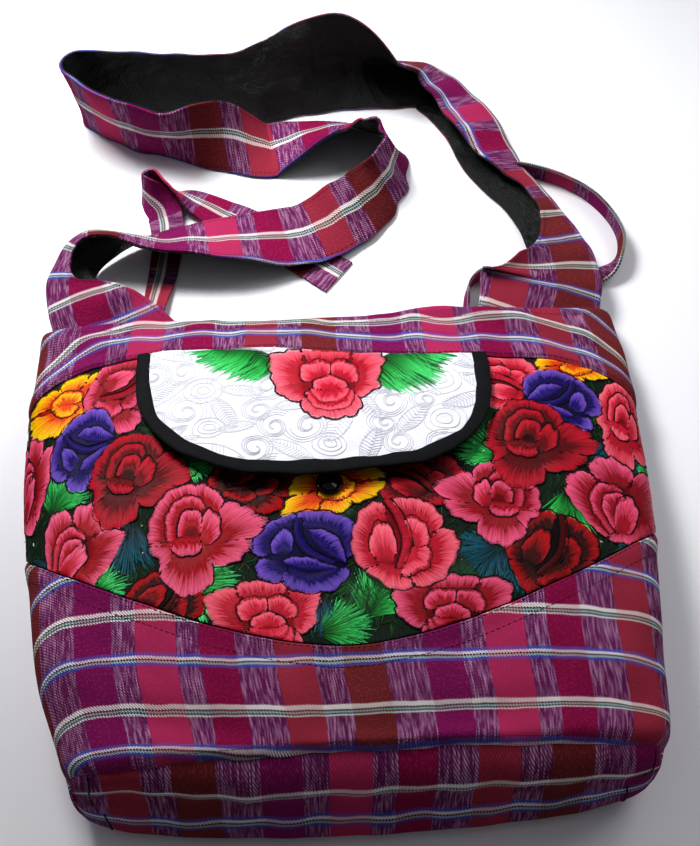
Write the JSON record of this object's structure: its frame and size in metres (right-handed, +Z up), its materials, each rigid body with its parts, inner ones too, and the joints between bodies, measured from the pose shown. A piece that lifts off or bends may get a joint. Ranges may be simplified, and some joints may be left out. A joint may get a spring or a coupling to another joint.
{
  "type": "hobo bag",
  "caption": "Soft woven hobo bag lying on its back: padded body, embroidered front panel with a half-round flap and button, boxed base, wide shoulder strap and mouth ties",
  "frame": {"origin": "on the floor, under the middle of the bag and its laid-out strap", "axes": "+Y from the base to the mouth and the strap, +X to the right seen from above, +Z up out of the front"},
  "size_m": [0.4036, 0.5838, 0.0747],
  "materials": {
    "plaid_cloth": "matte",
    "embroidered_cloth": "satin",
    "brocade": "satin",
    "black_binding": "matte",
    "black_lining": "satin",
    "button": "gloss"
  },
  "bodies": {
    "root": {"base_panel": "plaid_cloth", "back_panel": "plaid_cloth", "front_lower_panel": "plaid_cloth", "embroidered_panel": "embroidered_cloth", "front_top_band": "plaid_cloth", "flap": "brocade", "flap_binding": "black_binding", "button": "button", "strap": "plaid_cloth", "strap_lining": "black_lining", "tie_left": "plaid_cloth", "tie_right": "plaid_cloth"}
  },
  "joints": []
}
